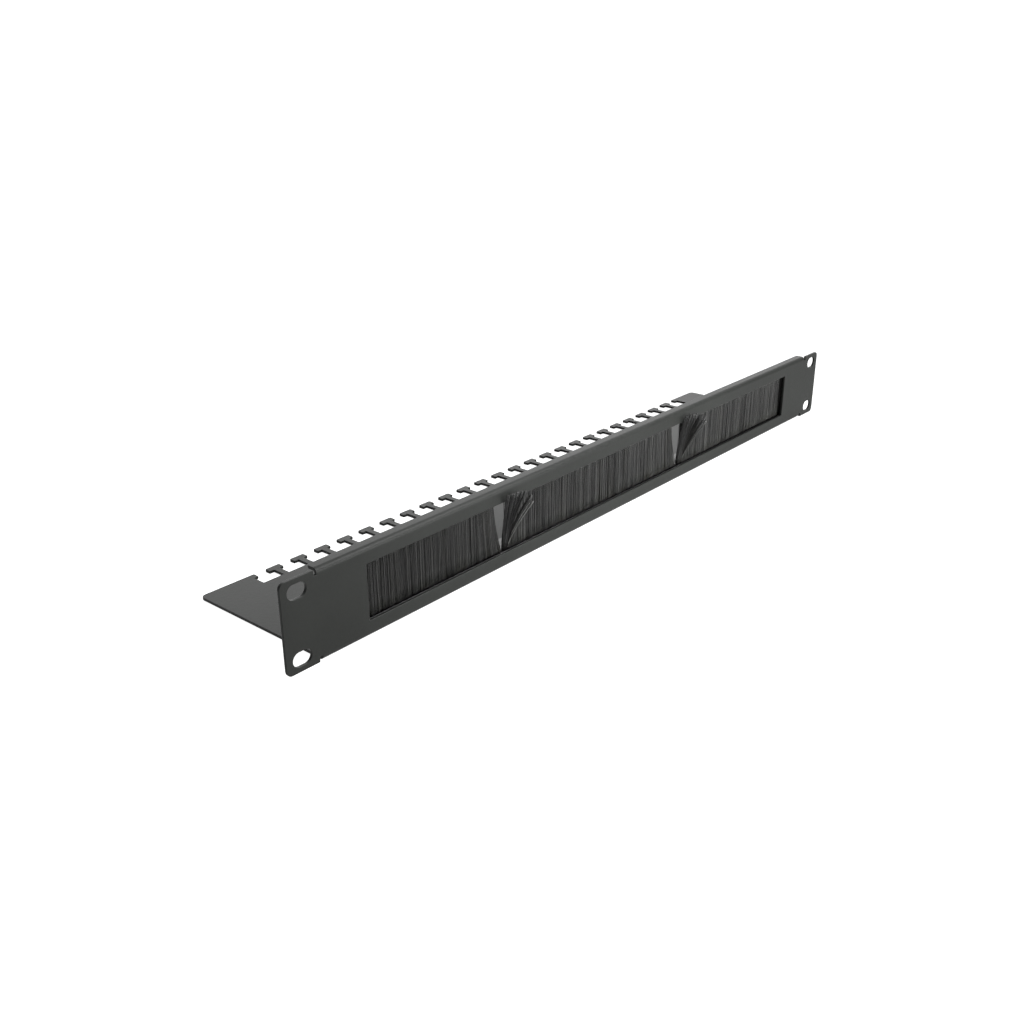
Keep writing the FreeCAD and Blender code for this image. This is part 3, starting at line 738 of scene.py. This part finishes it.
def hexagon_nut(centre):
    """Nut with corners chamfered to a cone at both ends and a countersunk bore.

    The ring's odd number of facets keeps its edges off the corners of the six sides.
    """
    low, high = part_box("nuts")
    across = 5.5 * MM
    corner = across / math.sqrt(3)
    face_edge = 0.48 * across
    chamfer, sink = 0.38 * MM, 0.25 * MM
    bore = 1.55 * MM
    past = corner + 0.03 * MM
    ring = lathe([(bore + sink, low.z), (face_edge, low.z), (past, low.z + chamfer),
                  (past, high.z - chamfer), (face_edge, high.z), (bore + sink, high.z),
                  (bore, high.z - sink), (bore, low.z + sink), (bore + sink, low.z)],
                 centre, 37)
    turned = bpy.data.objects.new("turned", finished_mesh(ring, "turned", smooth=False))
    bm = bmesh.new()
    bmesh.ops.create_circle(bm, cap_ends=True, radius=corner, segments=6,
                            matrix=Matrix.Translation((centre.x, centre.y, low.z - MM)))
    grown = bmesh.ops.extrude_face_region(bm, geom=list(bm.faces))
    rising = [part for part in grown["geom"] if isinstance(part, bmesh.types.BMVert)]
    bmesh.ops.translate(bm, verts=rising, vec=Vector((0.0, 0.0, high.z - low.z + 2.0 * MM)))
    bmesh.ops.recalc_face_normals(bm, faces=bm.faces)
    prism = bpy.data.objects.new("prism", finished_mesh(bm, "prism", smooth=False))
    for part in (turned, prism):
        bpy.context.scene.collection.objects.link(part)
    both = turned.modifiers.new("six_sides", "BOOLEAN")
    both.operation = "INTERSECT"
    both.solver = "EXACT"
    both.object = prism
    bpy.context.view_layer.update()
    mesh = bpy.data.meshes.new_from_object(
        turned.evaluated_get(bpy.context.evaluated_depsgraph_get()))
    for part in (turned, prism):
        bpy.data.objects.remove(part)
    return mesh


# Stage

def flat_floor():
    """Wide flat floor just under the part."""
    bm = bmesh.new()
    bmesh.ops.create_grid(bm, x_segments=1, y_segments=1, size=6.0)
    bmesh.ops.translate(bm, verts=bm.verts, vec=Vector((0.0, 0.0, FLOOR_HEIGHT - 0.05 * MM)))
    bm.normal_update()
    mesh = bpy.data.meshes.new("studio_floor")
    bm.to_mesh(mesh)
    bm.free()
    return mesh


def fill_light(settings):
    """Soft light from all around with a broad brighter field at the right rear."""
    s = Shader(bpy.data.worlds.new("fill_light"), "Generated")
    towards = s.node("ShaderNodeVectorMath", {"operation": "DOT_PRODUCT"},
                     {0: s.place, 1: (0.62, 0.70, 0.36)}, "Value")
    field = s.levels(towards, 0.0, 1.0) ** 2.0
    glow = s.node("ShaderNodeBackground", None,
                  {"Color": (1.0, 1.0, 1.0, 1.0),
                   "Strength": settings.sky + field * settings.backlight}, "Background")
    return s.end("ShaderNodeOutputWorld", glow)


def add_lamp(name, place, target, across, up, power, spread):
    """Rectangular soft lamp at a place, turned to a target."""
    lamp = bpy.data.lights.new(name, "AREA")
    lamp.shape = "RECTANGLE"
    lamp.size, lamp.size_y = across, up
    lamp.energy = power
    lamp.spread = math.radians(spread)
    holder = bpy.data.objects.new(name, lamp)
    holder.location = place
    holder.rotation_mode = "QUATERNION"
    holder.rotation_quaternion = (Vector(target) - Vector(place)).to_track_quat("-Z", "Y")
    bpy.context.scene.collection.objects.link(holder)
    return holder


def add_camera(settings):
    """Camera at the photograph's viewing angle."""
    yaw, pitch, roll = (math.radians(angle) for angle in CAMERA_ANGLES)
    ahead = Vector((math.sin(yaw) * math.cos(pitch), math.cos(yaw) * math.cos(pitch),
                    -math.sin(pitch)))
    right = Vector((math.cos(yaw), -math.sin(yaw), 0.0))
    above = right.cross(ahead)
    level = math.cos(roll) * right + math.sin(roll) * above
    upward = -math.sin(roll) * right + math.cos(roll) * above
    camera = bpy.data.cameras.new("camera")
    camera.lens = settings.lens
    camera.sensor_width = 36.0
    camera.clip_start, camera.clip_end = 0.01, 50.0
    holder = bpy.data.objects.new("camera", camera)
    holder.rotation_mode = "QUATERNION"
    turn = Matrix((level, upward, -ahead)).transposed()
    holder.rotation_quaternion = turn.to_quaternion()
    holder.location = CAMERA_PLACE
    bpy.context.scene.collection.objects.link(holder)
    bpy.context.scene.camera = holder


# Operators

class RACKPANEL_OT_dress_sheet(Operator):
    """Give the folded sheet its rounded edges and powder coat"""

    bl_idname = "rackpanel.dress_sheet"
    bl_label = "Folded sheet"

    def execute(self, context):
        settings = context.scene.rackpanel_sheet
        edged_copy("panel", "folded_sheet", settings.edge_radius,
                   powder_coat(settings), "powder_coat", settings.corner_radius)
        return {"FINISHED"}


class RACKPANEL_OT_dress_holder(Operator):
    """Finish the grooved rail, the crimped channel and its core wire"""

    bl_idname = "rackpanel.dress_holder"
    bl_label = "Rail and channel"

    def execute(self, context):
        black = drawn_metal("black_anodised_rail", (0.014, 0.0145, 0.015), (0.022, 0.022, 0.023),
                            0.56, 0.0, "X")
        edged_copy("holder_rail", "grooved_rail", 0.08 * MM, black, "rail_black")
        # Painted shade: the channel gets a near-black colour that stands for the dark shade line at
        # the window's foot
        strip = drawn_metal("shade_dark_channel_strip", (0.010, 0.010, 0.011), (0.018, 0.018, 0.019),
                            0.52, 0.0, "X")
        edged_copy("brush_channel", "crimped_channel", 0.07 * MM, strip, "channel_steel")
        wire = drawn_metal("drawn_wire", (0.55, 0.55, 0.56), (0.36, 0.36, 0.37),
                           0.30, 1.0, "X")
        edged_copy("core_wire", "folded_in_wire", 0.08 * MM, wire, "wire_steel")
        return {"FINISHED"}


class RACKPANEL_OT_grow_curtain(Operator):
    """Grow the three stretches of upright bristles"""

    bl_idname = "rackpanel.grow_curtain"
    bl_label = "Bristle curtain"

    def execute(self, context):
        settings = context.scene.rackpanel_brush
        nylon = nylon_for(settings)
        for node in ("bristles_left", "bristles_middle", "bristles_right"):
            show("curtain_" + node.split("_")[1], curtain(node, settings), nylon, "bristle", node)
        return {"FINISHED"}


class RACKPANEL_OT_grow_tufts(Operator):
    """Grow the two tufts that are swept forward beside the partings"""

    bl_idname = "rackpanel.grow_tufts"
    bl_label = "Swept tufts"

    def execute(self, context):
        settings = context.scene.rackpanel_brush
        nylon = nylon_for(settings)
        for node in ("swept_tuft_left", "swept_tuft_right"):
            show("loose_tuft_" + node.split("_")[2], tuft(node, settings), nylon, "bristle", node)
        return {"FINISHED"}


class RACKPANEL_OT_dress_fixings(Operator):
    """Make the threaded studs, washers and nuts that hold the rail"""

    bl_idname = "rackpanel.dress_fixings"
    bl_label = "Studs, washers and nuts"

    def execute(self, context):
        settings = context.scene.rackpanel_fixings
        zinc = zinc_plate(settings)
        axes = axes_of("studs")
        studs = joined("threaded_studs", [threaded_stud(a, settings.thread_pitch) for a in axes])
        show("threaded_studs", studs, zinc, "zinc", "studs")
        studs.set_sharp_from_angle(angle=math.radians(25))
        nuts = joined("hexagon_nuts", [hexagon_nut(axis) for axis in axes])
        show("hexagon_nuts", nuts, zinc, "zinc", "nuts")
        edged_copy("washers", "flat_washers", 0.06 * MM, zinc, "zinc")
        return {"FINISHED"}


class RACKPANEL_OT_set_stage(Operator):
    """Set the floor, the lights and the camera"""

    bl_idname = "rackpanel.set_stage"
    bl_label = "Floor, lights and camera"

    def execute(self, context):
        settings = context.scene.rackpanel_stage
        floor = bpy.data.objects.new("studio_floor", flat_floor())
        floor.data.materials.append(studio_floor(settings))
        context.scene.collection.objects.link(floor)
        context.scene.world = fill_light(settings)
        add_lamp("main_lamp", (0.10, -0.41, 0.09), (0.08, 0.0, 0.0), 0.40, 0.20, settings.key,
                 110.0)
        add_lamp("side_lamp", (0.15, -0.27, 0.43), (-0.17, 0.0, 0.022), 0.30, 0.30,
                 settings.side, 60.0)
        context.scene.view_settings.view_transform = "Standard"
        add_camera(settings)
        return {"FINISHED"}


class RACKPANEL_PT_sidebar(Panel):
    """Settings and buttons of the rack panel"""

    bl_idname = "RACKPANEL_PT_sidebar"
    bl_label = "Rack brush panel"
    bl_space_type = "VIEW_3D"
    bl_region_type = "UI"
    bl_category = "Rack Panel"

    def draw(self, context):
        for group, operators in STEPS:
            box = self.layout.box()
            settings = getattr(context.scene, group)
            for name in type(settings).__annotations__:
                box.prop(settings, name)
            for operator in operators:
                box.operator(operator.bl_idname)


STEPS = (
    ("rackpanel_sheet", (RACKPANEL_OT_dress_sheet, RACKPANEL_OT_dress_holder)),
    ("rackpanel_brush", (RACKPANEL_OT_grow_curtain, RACKPANEL_OT_grow_tufts)),
    ("rackpanel_fixings", (RACKPANEL_OT_dress_fixings,)),
    ("rackpanel_stage", (RACKPANEL_OT_set_stage,)),
)
GROUPS = {
    "rackpanel_sheet": SheetSettings,
    "rackpanel_brush": BrushSettings,
    "rackpanel_fixings": FixingSettings,
    "rackpanel_stage": StageSettings,
}
OPERATORS = [operator for group, operators in STEPS for operator in operators]


def register():
    for name, group in GROUPS.items():
        bpy.utils.register_class(group)
        setattr(bpy.types.Scene, name, PointerProperty(type=group))
    for operator in OPERATORS:
        bpy.utils.register_class(operator)
    bpy.utils.register_class(RACKPANEL_PT_sidebar)


def unregister():
    bpy.utils.unregister_class(RACKPANEL_PT_sidebar)
    for operator in reversed(OPERATORS):
        bpy.utils.unregister_class(operator)
    for name, group in GROUPS.items():
        delattr(bpy.types.Scene, name)
        bpy.utils.unregister_class(group)


def main():
    """Build the whole scene."""
    register()
    bpy.ops.rackpanel.dress_sheet()
    bpy.ops.rackpanel.dress_holder()
    bpy.ops.rackpanel.grow_curtain()
    bpy.ops.rackpanel.grow_tufts()
    bpy.ops.rackpanel.dress_fixings()
    bpy.ops.rackpanel.set_stage()


if __name__ == "__main__":
    main()
